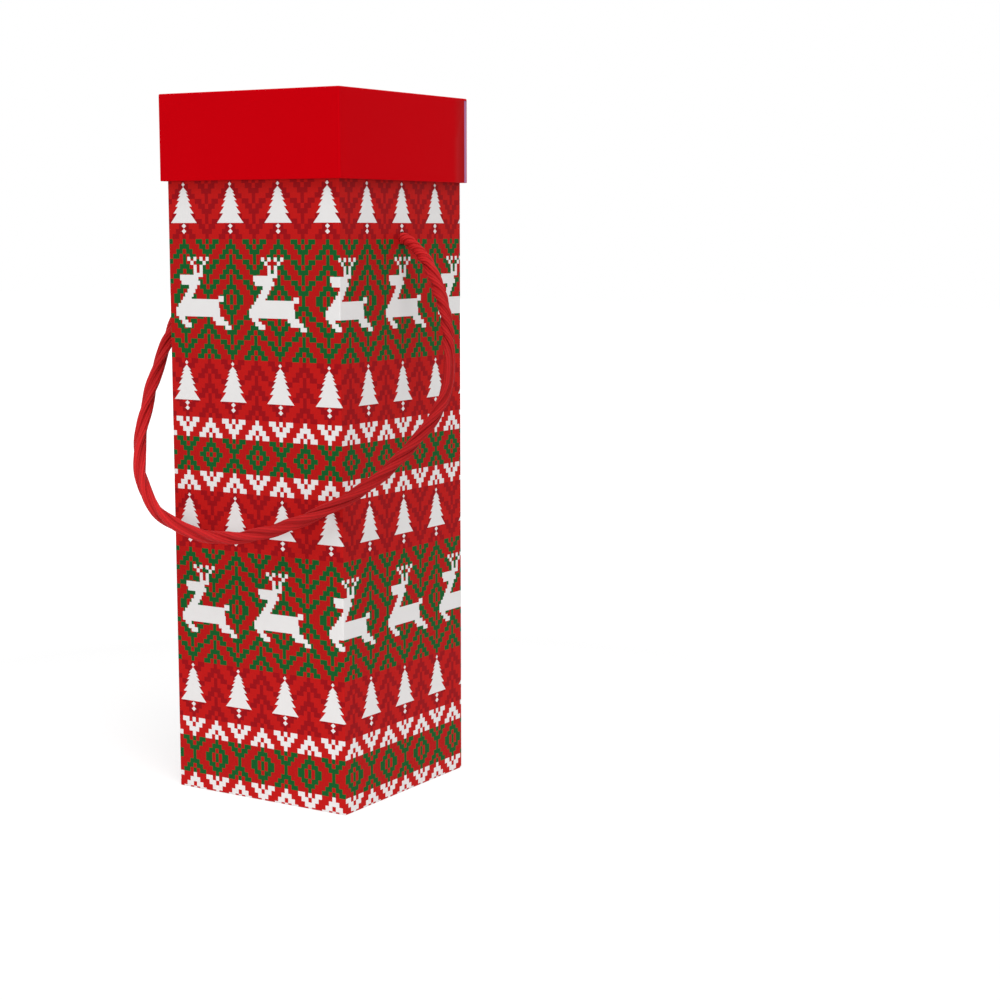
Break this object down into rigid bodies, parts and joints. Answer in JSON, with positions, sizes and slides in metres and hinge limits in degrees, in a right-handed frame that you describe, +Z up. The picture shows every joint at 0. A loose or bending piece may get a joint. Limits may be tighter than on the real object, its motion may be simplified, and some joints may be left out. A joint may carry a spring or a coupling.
{
  "type": "wine box",
  "caption": "Tall square rigid paper box for a bottle, with a deep lift-off lid, a printed knit-pattern wrap and a knotted rope handle through its side walls.",
  "frame": {"origin": "centre of the box's underside, where it stands", "axes": "+Z up the height of the box, -Y towards the front, where the rope hangs, +X towards the right wall; the rope goes through the walls at -X and +X"},
  "size_m": [0.1783, 0.1203, 0.334],
  "materials": {
    "grey_board": "matt, unprinted",
    "gummed_paper": "matt, pale lilac",
    "printed_paper": "printed in red, dark red, green and white, satin",
    "red_paper": "plain red, satin",
    "lining_paper": "matt white",
    "red_rope": "matt twisted strands"
  },
  "bodies": {
    "base": {"base_floor_board": "grey_board", "base_front_board": "grey_board", "base_back_board": "grey_board", "base_left_board": "grey_board", "base_right_board": "grey_board", "base_stay_front_left": "gummed_paper", "base_stay_front_right": "gummed_paper", "base_stay_back_left": "gummed_paper", "base_stay_back_right": "gummed_paper", "base_wrap": "printed_paper", "base_under_sheet": "lining_paper", "base_lining": "lining_paper", "base_floor_sheet": "lining_paper"},
    "lid": {"lid_top_board": "grey_board", "lid_front_board": "grey_board", "lid_back_board": "grey_board", "lid_left_board": "grey_board", "lid_right_board": "grey_board", "lid_stay_front_left": "gummed_paper", "lid_stay_front_right": "gummed_paper", "lid_stay_back_left": "gummed_paper", "lid_stay_back_right": "gummed_paper", "lid_wrap": "red_paper", "lid_lining": "lining_paper"},
    "handle": {"rope_loop": "red_rope", "rope_knot_left": "red_rope", "rope_knot_right": "red_rope"}
  },
  "joints": [
    {"name": "lid_lift", "type": "slide", "parent": "base", "child": "lid", "axis": [0, 0, 1], "range_m": [0, 0.1]},
    {"name": "handle_swing", "type": "hinge", "parent": "base", "child": "handle", "pos_m": [0, 0, 0.267], "axis": [-1, 0, 0], "range_deg": [0, 310]}
  ]
}
